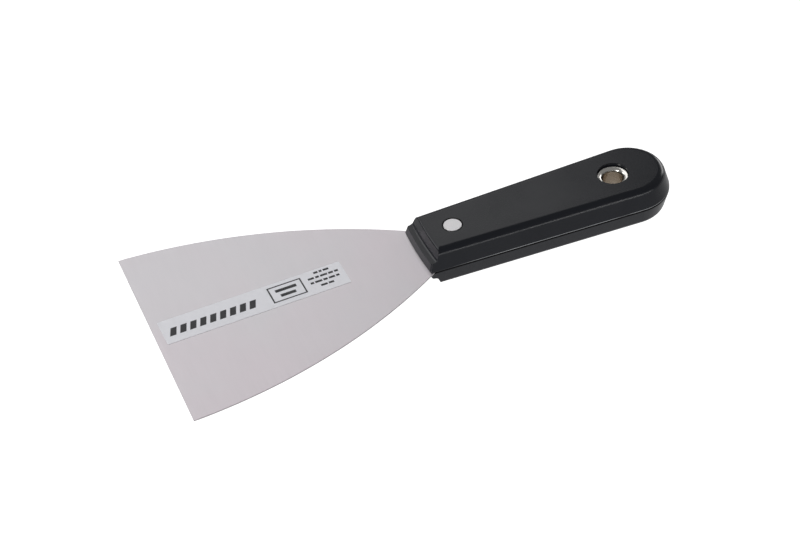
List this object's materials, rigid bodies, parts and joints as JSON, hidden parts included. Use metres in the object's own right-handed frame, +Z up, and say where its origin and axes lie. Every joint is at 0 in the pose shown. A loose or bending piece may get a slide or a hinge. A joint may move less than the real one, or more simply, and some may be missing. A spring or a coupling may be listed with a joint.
{
  "type": "flexible putty knife",
  "caption": "Flexible putty knife: a thin flared steel blade with a straight working edge, held in a two-piece black handle by a flush rivet and a metal hanging eyelet.",
  "frame": {"origin": "middle of the whole knife's box, in the plane of the lower handle scale's flat back", "axes": "+X from the working edge to the butt, +Y across the blade, +Z up through the printed face"},
  "size_m": [0.2234, 0.1, 0.0184],
  "materials": {
    "blade_steel": "matte ground stainless spring steel",
    "handle_plastic": "semi-gloss moulded plastic, near black",
    "rivet_metal": "matte, flush",
    "eyelet_metal": "bright nickel plating",
    "label_film": "thin silvery film with dark print"
  },
  "bodies": {
    "handle": {"blade_tang": "blade_steel", "upper_scale": "handle_plastic", "lower_scale": "handle_plastic", "front_rivet_post": "rivet_metal", "front_rivet_cap": "rivet_metal", "hanging_eyelet": "eyelet_metal", "eyelet_washer": "eyelet_metal"},
    "blade": {"blade": "blade_steel", "blade_label": "label_film"}
  },
  "joints": [
    {"name": "blade_flex", "type": "hinge", "parent": "handle", "child": "blade", "pos_m": [-0.02873, 0, 0.0092], "axis": [0, 1, 0], "range_deg": [-30, 30], "stiffness_Nm_per_rad": 2.66}
  ]
}
